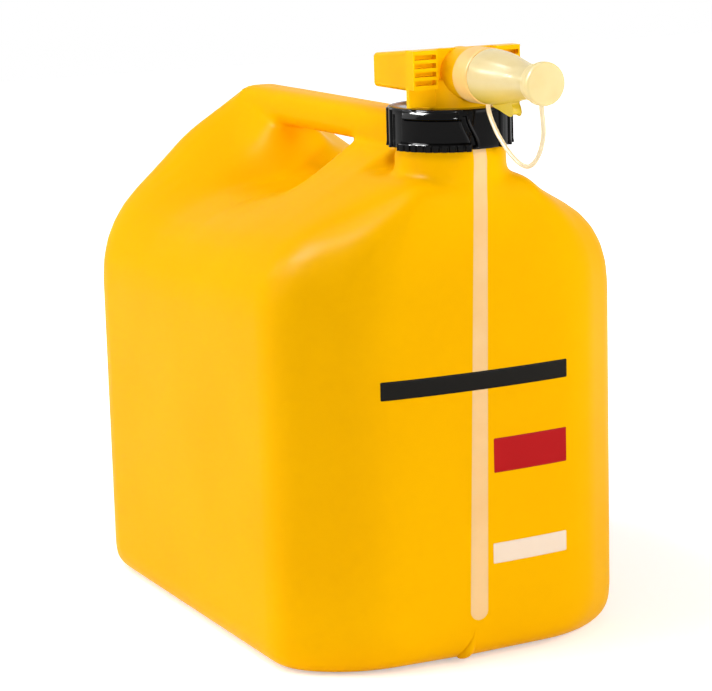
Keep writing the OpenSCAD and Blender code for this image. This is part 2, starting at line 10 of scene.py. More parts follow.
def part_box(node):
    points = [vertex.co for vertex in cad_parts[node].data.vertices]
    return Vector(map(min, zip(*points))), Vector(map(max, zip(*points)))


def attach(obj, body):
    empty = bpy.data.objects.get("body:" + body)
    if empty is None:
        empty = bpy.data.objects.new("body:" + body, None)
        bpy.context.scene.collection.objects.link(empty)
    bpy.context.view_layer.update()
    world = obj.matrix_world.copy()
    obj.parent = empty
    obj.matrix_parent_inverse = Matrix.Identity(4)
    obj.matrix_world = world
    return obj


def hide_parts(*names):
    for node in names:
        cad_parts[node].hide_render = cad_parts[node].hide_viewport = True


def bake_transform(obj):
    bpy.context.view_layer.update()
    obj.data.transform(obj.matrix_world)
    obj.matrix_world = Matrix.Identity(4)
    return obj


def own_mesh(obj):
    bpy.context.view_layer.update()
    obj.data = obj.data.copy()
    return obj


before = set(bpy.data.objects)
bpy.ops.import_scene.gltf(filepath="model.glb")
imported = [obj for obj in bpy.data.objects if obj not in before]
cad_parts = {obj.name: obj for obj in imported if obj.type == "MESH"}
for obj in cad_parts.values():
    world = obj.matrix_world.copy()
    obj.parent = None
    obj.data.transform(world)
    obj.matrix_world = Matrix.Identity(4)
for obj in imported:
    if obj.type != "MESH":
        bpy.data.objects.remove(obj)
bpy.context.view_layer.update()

# The camera stands where the photograph was taken: in front of the can, to its left and
# a little above it, with a long lens and a slight roll.
side_turn = math.radians(26.395)
look_down = math.radians(11.366)
roll = math.radians(-1.578)
camera_distance = 1.71376
aim_height = 0.17844
aim_shift = -0.000126

right = Vector((math.cos(side_turn), -math.sin(side_turn), 0))
forward = Vector((math.sin(side_turn) * math.cos(look_down),
                  math.cos(side_turn) * math.cos(look_down), -math.sin(look_down)))
upward = right.cross(forward)
rolled_right = math.cos(roll) * right + math.sin(roll) * upward
rolled_up = math.cos(roll) * upward - math.sin(roll) * right
aim = right * aim_shift + Vector((0, 0, aim_height))

camera = bpy.data.objects.new("photo_camera", bpy.data.cameras.new("photo_camera"))
camera.data.sensor_fit = "HORIZONTAL"
camera.data.sensor_width = 36
camera.data.lens = 126.1
camera.matrix_world = (Matrix.Translation(aim - forward * camera_distance)
                       @ Matrix((rolled_right, rolled_up, -forward)).transposed().to_4x4())
bpy.context.scene.collection.objects.link(camera)
bpy.context.scene.camera = camera
bpy.context.scene.view_settings.view_transform = "Standard"


# The floor is a wide sheet of white paper under the can. Away from the can it shows plain
# white, and near it the can's soft shadow stays.
def linked(name, mesh):
    """A new object in the scene for a mesh."""
    piece = bpy.data.objects.new(name, mesh)
    bpy.context.scene.collection.objects.link(piece)
    return piece


def connect(material, *pairs):
    """Link node sockets in a material, each pair from an output to an input."""
    for start, end in pairs:
        material.node_tree.links.new(start, end)


def seen_straight(tree):
    """1 for a ray from the camera, straight or by way of a mirror or glass, else 0."""
    path = tree.nodes.new("ShaderNodeLightPath")
    mirrored = tree.nodes.new("ShaderNodeMath")
    mirrored.operation = "MAXIMUM"
    either = tree.nodes.new("ShaderNodeMath")
    either.operation = "MAXIMUM"
    tree.links.new(path.outputs["Is Glossy Ray"], mirrored.inputs[0])
    tree.links.new(path.outputs["Is Transmission Ray"], mirrored.inputs[1])
    tree.links.new(path.outputs["Is Camera Ray"], either.inputs[0])
    tree.links.new(mirrored.outputs[0], either.inputs[1])
    return either.outputs[0]


floor_half = 4.0
shadow_reach = 0.3
white_reach = 1.0
shadow_glow = 0.42
floor_mesh = bpy.data.meshes.new("floor")
floor_mesh.from_pydata([(-floor_half, -floor_half, 0), (floor_half, -floor_half, 0),
                        (floor_half, floor_half, 0), (-floor_half, floor_half, 0)],
                       [], [(0, 1, 2, 3)])
floor = linked("floor", floor_mesh)
floor_paper = bpy.data.materials.new("floor_paper")
floor_paper.use_nodes = True
paper_nodes = floor_paper.node_tree.nodes
paper = paper_nodes["Principled BSDF"]
paper.inputs["Base Color"].default_value = (0.9, 0.9, 0.9, 1)
paper.inputs["Roughness"].default_value = 0.9
paper.inputs["Emission Color"].default_value = (1, 1, 1, 1)
where = paper_nodes.new("ShaderNodeNewGeometry")
from_can = paper_nodes.new("ShaderNodeVectorMath")
from_can.operation = "LENGTH"
lift = paper_nodes.new("ShaderNodeMapRange")
lift.inputs["From Min"].default_value = shadow_reach
lift.inputs["From Max"].default_value = white_reach
lift.inputs["To Min"].default_value = shadow_glow
lift.inputs["To Max"].default_value = 1.0
shown = paper_nodes.new("ShaderNodeMath")
shown.operation = "MULTIPLY"
connect(floor_paper,
        (where.outputs["Position"], from_can.inputs[0]),
        (from_can.outputs["Value"], lift.inputs["Value"]),
        (lift.outputs["Result"], shown.inputs[0]),
        (seen_straight(floor_paper.node_tree), shown.inputs[1]),
        (shown.outputs[0], paper.inputs["Emission Strength"]))
floor_mesh.materials.append(floor_paper)

# Soft studio light: a white room, softboxes at the front right, at the left and overhead, low
# lamps that stand for the bright table, a spot on the spout, and two lamps that only show as
# gloss, on the shoulder and the collar and on the bell.
room_light = 0.1
world = bpy.data.worlds.new("white_room")
world.use_nodes = True
bpy.context.scene.world = world
room_nodes = world.node_tree.nodes
room = room_nodes["Background"]
room.inputs["Color"].default_value = (1, 1, 1, 1)
room_level = room_nodes.new("ShaderNodeMapRange")
room_level.inputs["To Min"].default_value = room_light
room_level.inputs["To Max"].default_value = 1.0
world.node_tree.links.new(seen_straight(world.node_tree), room_level.inputs["Value"])
world.node_tree.links.new(room_level.outputs["Result"], room.inputs["Strength"])


def lamp(name, kind, place, aim_at, power):
    """A lamp at place that faces a point."""
    light = bpy.data.lights.new(name, kind)
    light.energy = power
    piece = bpy.data.objects.new(name, light)
    piece.location = place
    piece.rotation_euler = (Vector(aim_at) - Vector(place)).to_track_quat("-Z", "Y").to_euler()
    bpy.context.scene.collection.objects.link(piece)
    return piece


def softbox(name, place, aim_at, width, power):
    """A square area lamp at place that faces a point."""
    piece = lamp(name, "AREA", place, aim_at, power)
    piece.data.size = width
    return piece


can_middle = (0, 0, 0.2)
softbox("front_right_lamp", (1.15, -1.6, 1.1), can_middle, 1.8, 35)
softbox("left_lamp", (-1.85, 0.5, 0.9), can_middle, 1.3, 21)
softbox("top_lamp", (-0.3, -0.2, 2.0), can_middle, 1.4, 9)
softbox("shoulder_lamp", (-0.75, 0.69, 1.68), can_middle, 0.3, 10)
softbox("low_front_lamp", (-0.2, -0.62, 0.02), (-0.04, -0.17, 0.1), 0.4, 0.3)
softbox("low_left_lamp", (-0.6, 0, 0.02), (-0.13, 0, 0.1), 0.4, 0.14)

spout_lamp = lamp("spout_lamp", "SPOT", (-0.45, -1.45, 0.5), (-0.03, -0.13, 0.375), 30)
spout_lamp.data.spot_size = math.radians(9)
spout_lamp.data.spot_blend = 1
spout_lamp.data.shadow_soft_size = 0.05

gloss_lamp = softbox("gloss_lamp", (-1.24, 0.06, 1.46), (-0.05, -0.14, 0.3), 0.8, 260)
gloss_lamp.data.shape = "RECTANGLE"
gloss_lamp.data.size_y = 0.45
gloss_lamp.visible_diffuse = False
bell_lamp = softbox("bell_lamp", (-1.02, 0.79, 0.84), (0, -0.21, 0.377), 0.25, 6)
bell_lamp.visible_diffuse = False

# The tank is one blow moulding of yellow polyethylene, with its neck and tunnel handle. A clear
# stripe of natural polyethylene is moulded into its front wall, so that the fuel level shows.
# Both are cut from one skin of the solids' outer form, softened as a blown wall is.
MM = 0.001
skin_voxel = 2.5 * MM
skin_passes = 12
tank_wall = 3.2 * MM
tank_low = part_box("tank_body")[0]
gasket_low, gasket_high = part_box("neck_gasket")
neck_axis = (gasket_low + gasket_high) / 2
neck_rim = gasket_low.z - 1.5 * MM
neck_reach = 43 * MM
neck_foot = 330 * MM
rim_cut = 0.8 * MM
plug_radius = 31.5 * MM
plug_depth = 40 * MM


def settled(piece):
    """Make a piece's modifiers part of its mesh."""
    bpy.context.view_layer.update()
    graph = bpy.context.evaluated_depsgraph_get()
    made = bpy.data.meshes.new_from_object(piece.evaluated_get(graph))
    piece.modifiers.clear()
    piece.data = made
    return piece


def smoothed(piece):
    """Shade a piece smooth, with its sharp edges kept."""
    piece.data.polygons.foreach_set("use_smooth", [True] * len(piece.data.polygons))
    piece.data.set_sharp_from_angle(angle=math.radians(35))
    return piece


def step(low, high, value):
    """Smooth step from 0 at low to 1 at high, for arrays too."""
    share = np.clip((value - low) / (high - low), 0, 1)
    return share * share * (3 - 2 * share)


def parts_of(faces):
    """Faces with their edges and corners, as the mesh operators take them."""
    edges = {edge for face in faces for edge in face.edges}
    corners = {vert for face in faces for vert in face.verts}
    return [*faces, *edges, *corners]


form = bmesh.new()
for node in ("tank_body", "view_stripe"):
    form.from_mesh(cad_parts[node].data)
bmesh.ops.create_cone(
    form, cap_ends=True, segments=64, radius1=plug_radius, radius2=plug_radius, depth=plug_depth,
    matrix=Matrix.Translation((neck_axis.x, neck_axis.y, neck_rim - plug_depth / 2)))
tank_skin = linked("tank_skin", bpy.data.meshes.new("tank_skin"))
form.to_mesh(tank_skin.data)
form.free()
even = tank_skin.modifiers.new("even_mesh", "REMESH")
even.mode = "VOXEL"
even.voxel_size = skin_voxel
settled(tank_skin)

# Only the outer skin is kept, without the inside of the wall
form = bmesh.new()
form.from_mesh(tank_skin.data)
outer_start = min(form.verts, key=lambda vert: vert.co.y)
outer = {outer_start}
reach = [outer_start]
while reach:
    vert = reach.pop()
    for edge in vert.link_edges:
        other = edge.other_vert(vert)
        if other not in outer:
            outer.add(other)
            reach.append(other)
bmesh.ops.delete(form, geom=[vert for vert in form.verts if vert not in outer], context="VERTS")

# The neck is cut off level at its rim
neck_faces = [face for face in form.faces
              if (face.calc_center_median() - neck_axis).xy.length < neck_reach
              and face.calc_center_median().z > neck_foot]
bmesh.ops.bisect_plane(form, geom=parts_of(neck_faces), plane_co=(0, 0, neck_rim - rim_cut),
                       plane_no=(0, 0, 1), clear_outer=True)
form.to_mesh(tank_skin.data)
form.free()

# The handle and the neck keep more of their form than the broad walls do
neck_hold = 0.94
neck_reach_fade = (48 * MM, 38 * MM)
neck_height_fade = (316 * MM, 326 * MM)
handle_hold = 0.6
handle_side_fade = (24 * MM, 17 * MM)
handle_height_fade = (314 * MM, 322 * MM)
handle_rear_fade = (120 * MM, 80 * MM)
least_softness = 0.03
places = np.array([vert.co for vert in tank_skin.data.vertices])
from_neck = np.hypot(places[:, 0] - neck_axis.x, places[:, 1] - neck_axis.y)
at_neck = step(*neck_reach_fade, from_neck) * step(*neck_height_fade, places[:, 2])
at_handle = (step(*handle_side_fade, abs(places[:, 0])) * step(*handle_height_fade, places[:, 2])
             * step(*handle_rear_fade, places[:, 1]))
softness = np.clip(1 - neck_hold * at_neck - handle_hold * at_handle, least_softness, 1)
soft_group = tank_skin.vertex_groups.new(name="softness")
for index, weight in enumerate(softness):
    soft_group.add([index], float(weight), "REPLACE")
soften = tank_skin.modifiers.new("blown_corners", "SMOOTH")
soften.factor = 0.5
soften.iterations = skin_passes
soften.vertex_group = "softness"
settled(tank_skin)
tank_skin.vertex_groups.clear()
skin_tree = BVHTree.FromObject(tank_skin, bpy.context.evaluated_depsgraph_get())

# The stripe leans a little, widens towards its foot and has a round lower end
stripe_low, stripe_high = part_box("view_stripe")
stripe_half = (stripe_high.x - stripe_low.x) / 2 + 0.9 * MM
stripe_foot = Vector((-4.4 * MM, 0, stripe_low.z + stripe_half + 6 * MM))
stripe_lean = math.radians(1.3)
stripe_taper = math.radians(0.3)
stripe_room = 9 * MM
stripe_behind = neck_axis.y - 12 * MM
end_turns = 12
form = bmesh.new()
form.from_mesh(tank_skin.data)


def cut(faces, point, normal):
    """Cut faces of the skin by a plane and return those behind it."""
    made = bmesh.ops.bisect_plane(form, geom=parts_of(faces), plane_co=point, plane_no=normal)["geom"]
    found = {part for part in made if isinstance(part, bmesh.types.BMFace)}
    found |= {face for face in faces if face.is_valid}
    return [face for face in found
            if (face.calc_center_median() - Vector(point)).dot(Vector(normal)) < 0]


strip = [face for face in form.faces
         if abs(face.calc_center_median().x) < stripe_half + stripe_room
         and face.calc_center_median().y < stripe_behind]
strip = cut(strip, (0, 0, stripe_high.z), (0, 0, 1))
for turn in range(end_turns + 1):
    angle = stripe_lean - stripe_taper + (math.pi + 2 * stripe_taper) * turn / end_turns
    outward = Vector((math.cos(angle), 0, -math.sin(angle)))
    strip = cut(strip, stripe_foot + outward * stripe_half, outward)
stripe_part = bmesh.ops.split(form, geom=strip)["geom"]
for face in form.faces:
    face.material_index = 0
for part in stripe_part:
    if isinstance(part, bmesh.types.BMFace):
        part.material_index = 1
form.to_mesh(tank_skin.data)
form.free()


def walled(name, index):
    """The part of the skin with that mark, with the thickness of the wall."""
    part = bmesh.new()
    part.from_mesh(tank_skin.data)
    others = [face for face in part.faces if face.material_index != index]
    bmesh.ops.delete(part, geom=others, context="FACES")
    for face in part.faces:
        face.material_index = 0
    mesh = bpy.data.meshes.new(name)
    part.to_mesh(mesh)
    part.free()
    piece = linked(name, mesh)
    wall = piece.modifiers.new("wall", "SOLIDIFY")
    wall.thickness = tank_wall
    wall.offset = -1
    return smoothed(settled(piece))


def paint(red, green, blue):
    """A colour as a picture shows it, 0 to 255, in linear light."""
    shares = [value / 255 for value in (red, green, blue)]
    return [share / 12.92 if share <= 0.04045 else ((share + 0.055) / 1.055) ** 2.4
            for share in shares]


def moulded_group():
    """Node group of a moulded plastic surface: cloudy colour, uneven gloss and fine grain."""
    group = bpy.data.node_groups.new("moulded_surface", "ShaderNodeTree")
    for label, kind, value in (("Light colour", "NodeSocketColor", (0.8, 0.8, 0.8, 1)),
                               ("Deep colour", "NodeSocketColor", (0.7, 0.7, 0.7, 1)),
                               ("Cloud scale", "NodeSocketFloat", 14.0),
                               ("Grain scale", "NodeSocketFloat", 900.0),
                               ("Gloss roughness", "NodeSocketFloat", 0.3),
                               ("Dull roughness", "NodeSocketFloat", 0.4)):
        socket = group.interface.new_socket(label, in_out="INPUT", socket_type=kind)
        socket.default_value = value
    for label, kind in (("Colour", "NodeSocketColor"),
                        ("Roughness", "NodeSocketFloat"),
                        ("Height", "NodeSocketFloat")):
        group.interface.new_socket(label, in_out="OUTPUT", socket_type=kind)
    nodes = group.nodes
    given = nodes.new("NodeGroupInput")
    result = nodes.new("NodeGroupOutput")
    place = nodes.new("ShaderNodeTexCoord")
    cloud = nodes.new("ShaderNodeTexNoise")
    cloud.inputs["Detail"].default_value = 4
    spread = nodes.new("ShaderNodeMapRange")
    spread.inputs["From Min"].default_value = 0.35
    spread.inputs["From Max"].default_value = 0.65
    colour = nodes.new("ShaderNodeMix")
    colour.data_type = "RGBA"
    gloss = nodes.new("ShaderNodeMapRange")
    grain = nodes.new("ShaderNodeTexNoise")
    grain.inputs["Detail"].default_value = 3
    for start, end in ((place.outputs["Object"], cloud.inputs["Vector"]),
                       (given.outputs["Cloud scale"], cloud.inputs["Scale"]),
                       (cloud.outputs["Fac"], spread.inputs["Value"]),
                       (spread.outputs["Result"], colour.inputs["Factor"]),
                       (given.outputs["Light colour"], colour.inputs["A"]),
                       (given.outputs["Deep colour"], colour.inputs["B"]),
                       (colour.outputs["Result"], result.inputs["Colour"]),
                       (spread.outputs["Result"], gloss.inputs["Value"]),
                       (given.outputs["Gloss roughness"], gloss.inputs["To Min"]),
                       (given.outputs["Dull roughness"], gloss.inputs["To Max"]),
                       (gloss.outputs["Result"], result.inputs["Roughness"]),
                       (place.outputs["Object"], grain.inputs["Vector"]),
                       (given.outputs["Grain scale"], grain.inputs["Scale"]),
                       (grain.outputs["Fac"], result.inputs["Height"])):
        group.links.new(start, end)
    return group


moulded_surface = moulded_group()


def plastic(name, light, deep, cloud=14, grain=900, gloss=0.3, dull=0.4, relief=0.02, shine=0.2,
            glow=0, glow_reach=(1, 1, 1)):
    """Material of a moulded plastic. Relief is the grain's depth in millimetres."""
    material = bpy.data.materials.new(name)
    material.use_nodes = True
    nodes = material.node_tree.nodes
    shader = nodes["Principled BSDF"]
    surface = nodes.new("ShaderNodeGroup")
    surface.node_tree = moulded_surface
    for label, value in (("Light colour", (*light, 1)), ("Deep colour", (*deep, 1)),
                         ("Cloud scale", cloud), ("Grain scale", grain),
                         ("Gloss roughness", gloss), ("Dull roughness", dull)):
        surface.inputs[label].default_value = value
    bump = nodes.new("ShaderNodeBump")
    bump.inputs["Strength"].default_value = 1
    bump.inputs["Distance"].default_value = relief * MM
    shader.inputs["Specular IOR Level"].default_value = shine
    shader.inputs["Subsurface Weight"].default_value = glow
    shader.inputs["Subsurface Radius"].default_value = glow_reach
    shader.inputs["Subsurface Scale"].default_value = 4 * MM
    connect(material,
            (surface.outputs["Colour"], shader.inputs["Base Color"]),
            (surface.outputs["Roughness"], shader.inputs["Roughness"]),
            (surface.outputs["Height"], bump.inputs["Height"]),
            (bump.outputs["Normal"], shader.inputs["Normal"]))
    return material


tank_yellow = plastic("tank_yellow", paint(250, 184, 0), paint(247, 179, 0), cloud=9, grain=700,
                      gloss=0.3, dull=0.36, shine=0.01)
tank = walled("tank", 0)
tank.data.materials.append(tank_yellow)
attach(tank, "can")
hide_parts("tank_body")

stripe_clear = plastic("stripe_clear", paint(247, 202, 142), paint(244, 195, 131), cloud=30,
                       gloss=0.3, dull=0.38, glow=0.3, glow_reach=(1, 0.7, 0.4))
stripe = walled("stripe", 1)
stripe.data.materials.append(stripe_clear)
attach(stripe, "can")
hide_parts("view_stripe")
bpy.data.objects.remove(tank_skin)


# The two halves of the blow mould leave a thin seam up the back, and a pinched tail below
# the stripe where the soft tube was closed. Both are part of the tank's moulding.
def shape(name, *parts):
    """An object of closed surfaces, each a list of points and a list of faces."""
    form = bmesh.new()
    for points, faces in parts:
        verts = [form.verts.new(point) for point in points]
        for face in faces:
            form.faces.new([verts[index] for index in face])
    bmesh.ops.recalc_face_normals(form, faces=form.faces)
    mesh = bpy.data.meshes.new(name)
    form.to_mesh(mesh)
    form.free()
    return smoothed(linked(name, mesh))


def strand(line, radii, across, sides=12):
    """A closed tube along a line, with a radius for each point. Across is square to the line, and
    its length is the section's width to its height."""
    points, faces = [], []
    for index, (point, radius) in enumerate(zip(line, radii)):
        along = line[min(index + 1, len(line) - 1)] - line[max(index - 1, 0)]
        outward = along.cross(across).normalized()
        for k in range(sides):
            turn = 2 * math.pi * k / sides
            points.append(point + radius * (math.cos(turn) * across + math.sin(turn) * outward))
    for index in range(len(line) - 1):
        for k in range(sides):
            a, b = index * sides + k, index * sides + (k + 1) % sides
            faces.append((a, b, b + sides, a + sides))
    faces.append(tuple(reversed(range(sides))))
    faces.append(tuple(range(len(points) - sides, len(points))))
    return points, faces


sideways = Vector((1, 0, 0))
tail_steps = 18
tail_middle = Vector((-7 * MM, tank_low.y + 32 * MM, 34 * MM))
tail_drift = sideways * -4.5 * MM
tail_slope = (-16, -61)
tail_width = 2
tail_thin = 0.25 * MM
tail_swell = 2.25 * MM
ray_start = 0.2
tail_line, tail_radii = [], []
for k in range(tail_steps + 1):
    share = k / tail_steps
    slope = math.radians(tail_slope[0] + (tail_slope[1] - tail_slope[0]) * share)
    outward = Vector((0, -math.cos(slope), math.sin(slope)))
    start = tail_middle + tail_drift * share + outward * ray_start
    tail_line.append(skin_tree.ray_cast(start, -outward)[0])
    tail_radii.append(tail_thin + tail_swell * float(step(2, 14, k) * step(19, 15, k)))
seam_radius = 0.5 * MM
seam_line = [skin_tree.ray_cast(Vector((0, 1, z)), Vector((0, -1, 0)))[0]
             for z in np.linspace(30 * MM, 318 * MM, 49)]
seam = shape("mould_seam", strand(tail_line, tail_radii, sideways * tail_width),
             strand(seam_line, [seam_radius] * len(seam_line), sideways, 8))
seam.data.materials.append(tank_yellow)
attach(seam, "can")

# The neck carries a coarse thread under the collar, in the tank's yellow plastic and moulded
# with it. It runs out to nothing at both ends.
neck_up = Vector((0, 0, 1))
thread_turns = 1.6
thread_steps = 120
thread_pitch = 5 * MM
thread_radius = 33.4 * MM
thread_height = 0.85 * MM
thread_start = neck_rim - 11 * MM
thread_fade = 12
thread_line, thread_radii = [], []
for k in range(thread_steps + 1):
    turn = 2 * math.pi * thread_turns * k / thread_steps
    thread_line.append(Vector((neck_axis.x + thread_radius * math.cos(turn),
                               neck_axis.y + thread_radius * math.sin(turn),
                               thread_start + thread_pitch * turn / (2 * math.pi))))
    from_end = min(k, thread_steps - k)
    thread_radii.append(thread_height * min(1, from_end / thread_fade + 0.1))
thread = shape("neck_thread", strand(thread_line, thread_radii, neck_up, 8))
thread.data.materials.append(tank_yellow)
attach(thread, "can")

# The prints on the front are plain: a black band across the stripe, and a red and a white
# plate to the right of it, each a thin film of ink on the skin.
print_grid = 1.5 * MM
print_corner = 0.8 * MM
corner_steps = 6
ink_rise = 0.12 * MM
ink_film = 0.1 * MM


def ink(name, light, deep):
    """Material of a print."""
    return plastic(name, light, deep, grain=1500, gloss=0.35, dull=0.45, shine=0.08)


def front_print(name, left, right, low, high, material):
    """A thin printed field on the front of the tank, with round corners. Its edges are millimetres."""
    left_x, right_x, low_z, high_z = left * MM, right * MM, low * MM, high * MM
    columns = max(8, round((right_x - left_x) / print_grid))
    rows = max(4, round((high_z - low_z) / print_grid))
    inner = right_x - left_x - 2 * print_corner
    ease = [0.5 - 0.5 * math.cos(math.pi * k / corner_steps) for k in range(corner_steps)]
    across = [left_x + print_corner * share for share in ease]
    across += [left_x + print_corner + inner * k / columns for k in range(columns + 1)]
    across += [right_x - print_corner * share for share in reversed(ease)]
    points = []
    for x in across:
        inside = min(x - left_x, right_x - x, print_corner)
        trim = print_corner - math.sqrt(max(0, print_corner ** 2 - (print_corner - inside) ** 2))
        for row in range(rows + 1):
            z = low_z + trim + (high_z - low_z - 2 * trim) * row / rows
            place, normal = skin_tree.ray_cast(Vector((x, -1, z)), Vector((0, 1, 0)))[:2]
            points.append(place + normal * ink_rise)
    tall = rows + 1
    quads = [(c * tall + r, (c + 1) * tall + r, (c + 1) * tall + r + 1, c * tall + r + 1)
             for c in range(len(across) - 1) for r in range(rows)]
    mesh = bpy.data.meshes.new(name)
    mesh.from_pydata(points, [], quads)
    mesh.materials.append(material)
    piece = smoothed(linked(name, mesh))
    film = piece.modifiers.new("film", "SOLIDIFY")
    film.thickness = ink_film
    film.offset = -1
    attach(piece, "can")


front_print("band_print", -69, 64, 179.7, 191.5, ink("band_ink", paint(14, 12, 8), paint(18, 15, 10)))
front_print("red_print", 8, 63, 124.7, 147, ink("red_ink", paint(184, 20, 24), paint(176, 17, 20)))
front_print("white_print", 6.5, 62.3, 65.4, 78.7,
            ink("white_ink", paint(246, 226, 205), paint(242, 220, 197)))

# The basket that keeps a flame out of the tank is dark plastic, and the flat gasket above
# it is black rubber. Both lie in the neck under the collar.
arrestor_grey = plastic("arrestor_grey", paint(58, 58, 62), paint(50, 50, 54), cloud=60,
                        gloss=0.45, dull=0.55)
seal_black = plastic("seal_black", paint(24, 24, 24), paint(18, 18, 18), cloud=90, grain=1600,
                     gloss=0.6, dull=0.75)


def finished(node, material):
    """Give a CAD node its material."""
    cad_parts[node].data.materials.clear()
    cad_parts[node].data.materials.append(material)


finished("flame_arrestor", arrestor_grey)
finished("neck_gasket", seal_black)

# The collar is a glossy black screw ring with grip ribs, injection moulded. It pulls the
# spout's flange down on the neck, and a window in its wall holds the lock tab.
collar_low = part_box("collar")[0]
collar_foot = Vector((neck_axis.x, neck_axis.y, collar_low.z))
collar_radius = 38.6
collar_bore = 34.5
collar_tall = 24.8
collar_edge = 1.2
lip_bore = 27.1
lip_under = 22
window_top = 21
lip_room = 0.6
band_angles = (16.8, 80.2)
band_foot = 18.9
band_round = 8
band_swell = 1.3
rib_angles = [100 + 18 * k for k in range(14)]
rib_half = 3


def tab_right(height):
    """Angle of the lock tab's curved right edge, which leans out at its foot."""
    return 8.5 + 9.5 * step(1, 20, height)


def tab_left(height):
    """Angle of its left edge, further out along the lip."""
    return 79 + 3 * step(4.4, 3.4, height)


def tab_gap(height):
    """Angle of the slit beside the lock tab, wider at the foot, where the tab swings further in."""
    return 0.3 + 0.05 * (window_top - height)


def wall_edges(height):
    """The two ends of the collar's wall at a height, round the back from the tab."""
    gap = tab_gap(height)
    return tab_left(height - lip_room) + gap, 360 + tab_right(height) - gap


def wrapped(edges, heights, columns, outside, bore):
    """A closed wall bent round the neck. Edges gives its end angles at a height, and outside its
    outer radius there. Angles are degrees from the front to the left, and lengths are
    millimetres, with heights above the collar's foot."""
    share = np.linspace(0, 1, columns + 1)
    rings = {"outer": [], "inner": []}
    for height in heights:
        first, last = edges(height)
        angles = first + (last - first) * share
        turns = np.radians(angles)
        for ring, radii in (("outer", outside(angles, height)), ("inner", np.full(columns + 1, bore))):
            rings[ring] += [(neck_axis.x - r * math.sin(t) * MM, neck_axis.y - r * math.cos(t) * MM,
                             collar_low.z + height * MM) for r, t in zip(radii, turns)]
    points = rings["outer"] + rings["inner"]
    back = len(rings["outer"])
    wide = columns + 1
    tall = len(heights) - 1
    faces = []
    for row in range(tall):
        for column in range(columns):
            a = row * wide + column
            faces.append((a, a + 1, a + 1 + wide, a + wide))
            faces.append((back + a, back + a + wide, back + a + 1 + wide, back + a + 1))
        for a in (row * wide, row * wide + columns):
            faces.append((a, a + wide, back + a + wide, back + a))
    for column in range(columns):
        for a in (column, tall * wide + column):
            faces.append((a, back + a, back + a + 1, a + 1))
    return points, faces


def revolved(start, along, profile, segments=96):
    """A closed ring about an axis. Its section is a loop of (reach, radius) in millimetres."""
    side = along.orthogonal().normalized()
    other = along.cross(side)
    count = len(profile)
    points, faces = [], []
    for k in range(segments):
        turn = 2 * math.pi * k / segments
        outward = math.cos(turn) * side + math.sin(turn) * other
        points += [start + (along * reach + outward * radius) * MM for reach, radius in profile]
        after = (k + 1) % segments
        for i in range(count):
            j = (i + 1) % count
            faces.append((k * count + i, k * count + j, after * count + j, after * count + i))
    return points, faces


def collar_outside(angles, height):
    """Outer radius of the collar's wall."""
    from_tab = angles[-1] - angles
    foot_chamfer = 0.5 * step(0.7, 0, height)
    left_recess = 0.9 * step(94.5, 93, angles)
    groove = 2.2 * step(5.0, 4.1, from_tab) * step(1.0, 2.5, height) * step(window_top, 19.8, height)
    bead = 0.35 * np.exp(-((from_tab - 6.0) / 0.8) ** 2)
    return collar_radius - foot_chamfer - left_recess - groove + bead


def grip_rib(middle):
    """One of the collar's upright ribs, a little wider at its foot."""
    rib_top = collar_tall - 0.3

    def outside(angles, height):
        crest = step(2.9, 1.7, abs(angles - middle)) * step(rib_top, rib_top - 1.3, height)
        return collar_radius - 0.3 + crest * (1.35 + 0.4 * step(3, 0, height))

    heights = [*np.linspace(0, 4, 5), 12, 20, *np.linspace(rib_top - 1.5, rib_top, 6)]
    return wrapped(lambda height: (middle - rib_half, middle + rib_half), heights, 16, outside,
                   collar_bore + 2)


def band_outside(angles, height):
    """Outer radius of the round raised band over the lock tab."""
    swell = band_swell - band_round + math.sqrt(band_round ** 2 - (height - band_foot) ** 2)
    raised = step(20.6, 21.4, angles) * step(77.4, 76.6, angles)
    return collar_radius - 0.05 + (swell + 0.05) * raised


collar_black = plastic("collar_black", paint(5, 5, 5), paint(8, 7, 7), cloud=40, grain=1200,
                       gloss=0.07, dull=0.12, relief=0.003, shine=0.1)
edge_turns = [math.radians(angle) for angle in range(0, 91, 15)]
collar_top = [(window_top, collar_radius),
              *[(collar_tall - collar_edge + collar_edge * math.sin(turn),
                 collar_radius - collar_edge + collar_edge * math.cos(turn)) for turn in edge_turns],
              (collar_tall, lip_bore + 0.5), (collar_tall - 0.15, lip_bore + 0.15),
              (collar_tall - 0.5, lip_bore), (lip_under, lip_bore), (lip_under, collar_bore),
              (window_top, collar_bore)]
collar = shape(
    "collar_ring",
    revolved(collar_foot, neck_up, collar_top, 180),
    wrapped(wall_edges, np.linspace(0, window_top, 43), 560, collar_outside, collar_bore),
    wrapped(lambda height: band_angles, np.linspace(band_foot, collar_tall - 0.4, 19), 150,
            band_outside, collar_bore + 1),
    *[grip_rib(angle) for angle in rib_angles])
collar.data.materials.append(collar_black)
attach(collar, "collar")
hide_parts("collar")

# The lock tab is the sprung part of the collar, pressed by the thumb to free it: a bent panel
# of the same black plastic, with a ridged lip at its foot.
tab_foot = -0.9
tab_tall = 18.35
tooth_pitch = 7


def tab_outside(angles, height):
    """Outer radius of the lock tab."""
    from_left = angles.max() - angles
    from_right = angles - angles.min()
    phase = (angles - 9.5) % tooth_pitch
    tooth = step(0.5, 1.1, phase) * step(6.1, 5.5, phase)
    notch = 0.95 * (1 - tooth) * step(3.3, 2.7, height)
    lip = (2.5 - notch) * step(4.6, 3.4, height) * step(8.7, 9.6, angles)
    top_edge = 0.6 * step(tab_tall - 0.7, tab_tall, height)
    left_edge = 0.7 * step(1.0, 0, from_left)
    right_edge = 0.5 * step(0.9, 0, from_right)
    right_bead = 0.3 * step(1.2, 2.0, from_right) * step(3.4, 2.4, from_right)
    return collar_radius + 0.4 + lip - top_edge - left_edge - right_edge + right_bead


